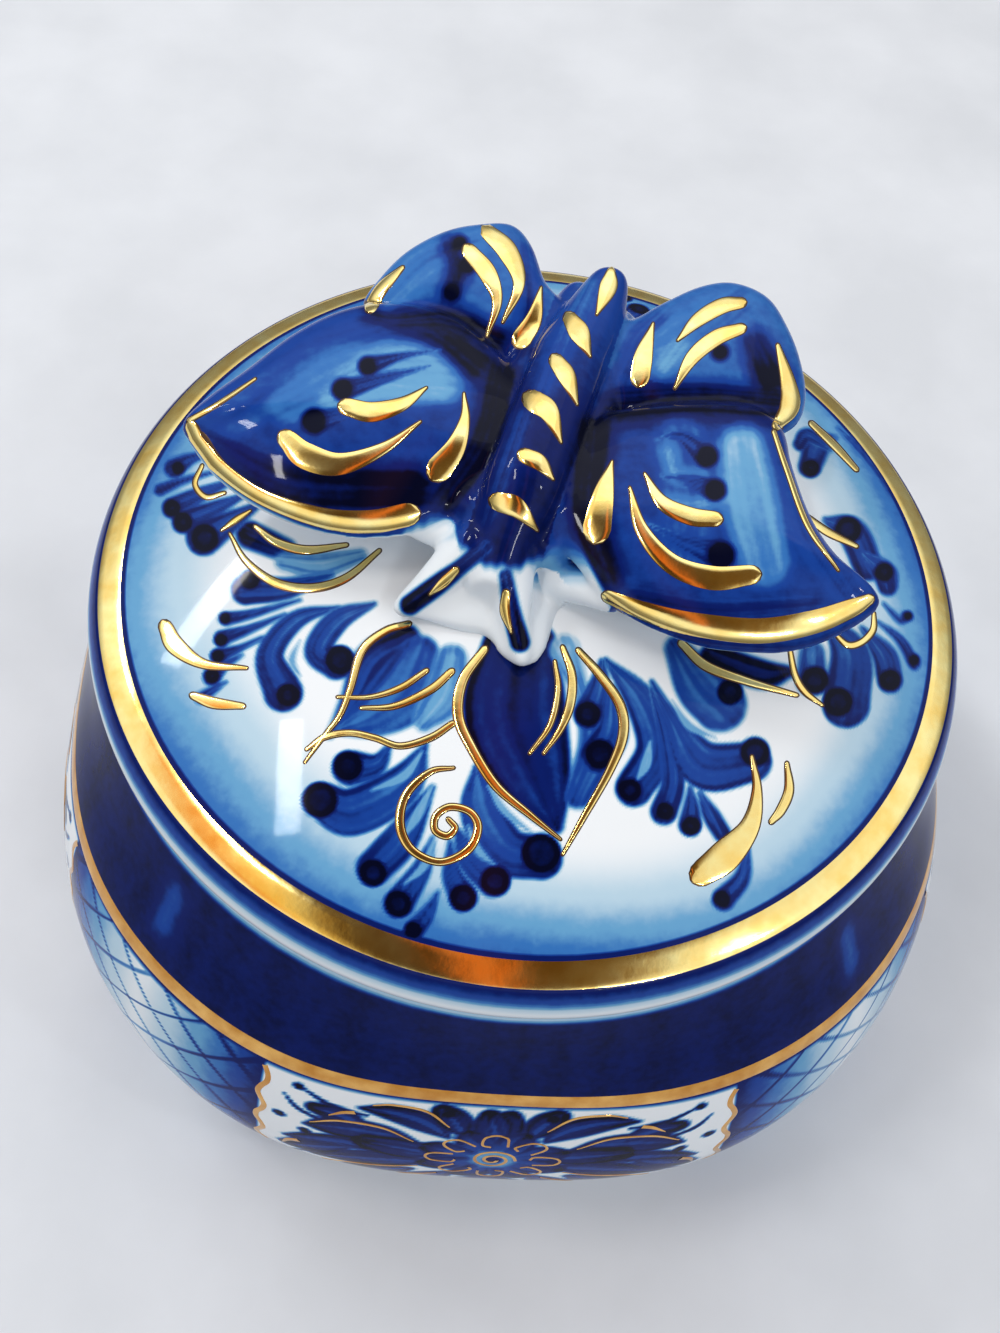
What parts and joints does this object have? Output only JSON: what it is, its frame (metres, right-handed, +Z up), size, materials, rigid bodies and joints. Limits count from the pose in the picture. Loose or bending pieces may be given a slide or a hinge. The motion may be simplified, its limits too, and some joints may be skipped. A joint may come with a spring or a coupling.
{
  "type": "lidded porcelain box",
  "caption": "Lidded porcelain box with a rounded square belly, a domed round lid and a butterfly knob, painted in cobalt under the glaze with gold lines.",
  "frame": {"origin": "on the table under the middle of the foot ring", "axes": "+Z up along the lid's axis, -Y towards the front panel, +X to the right seen from the front"},
  "size_m": [0.1237, 0.1238, 0.0913],
  "materials": {
    "bowl_glaze": "white glaze over cobalt painting, with gold bands and lines",
    "lid_glaze": "white glaze over cobalt brush painting, with a gold band and gold lines",
    "butterfly_glaze": "dark and pale cobalt under glaze, with gold strokes and edges"
  },
  "bodies": {
    "bowl": {"bowl": "bowl_glaze"},
    "lid": {"lid": "lid_glaze", "butterfly_body": "butterfly_glaze", "left_forewing": "butterfly_glaze", "left_hindwing": "butterfly_glaze", "right_forewing": "butterfly_glaze", "right_hindwing": "butterfly_glaze", "butterfly_antennae": "butterfly_glaze"}
  },
  "joints": [
    {"name": "lid_lift", "type": "slide", "parent": "bowl", "child": "lid", "axis": [0, 0, 1], "range_m": [0, 0.07]}
  ]
}
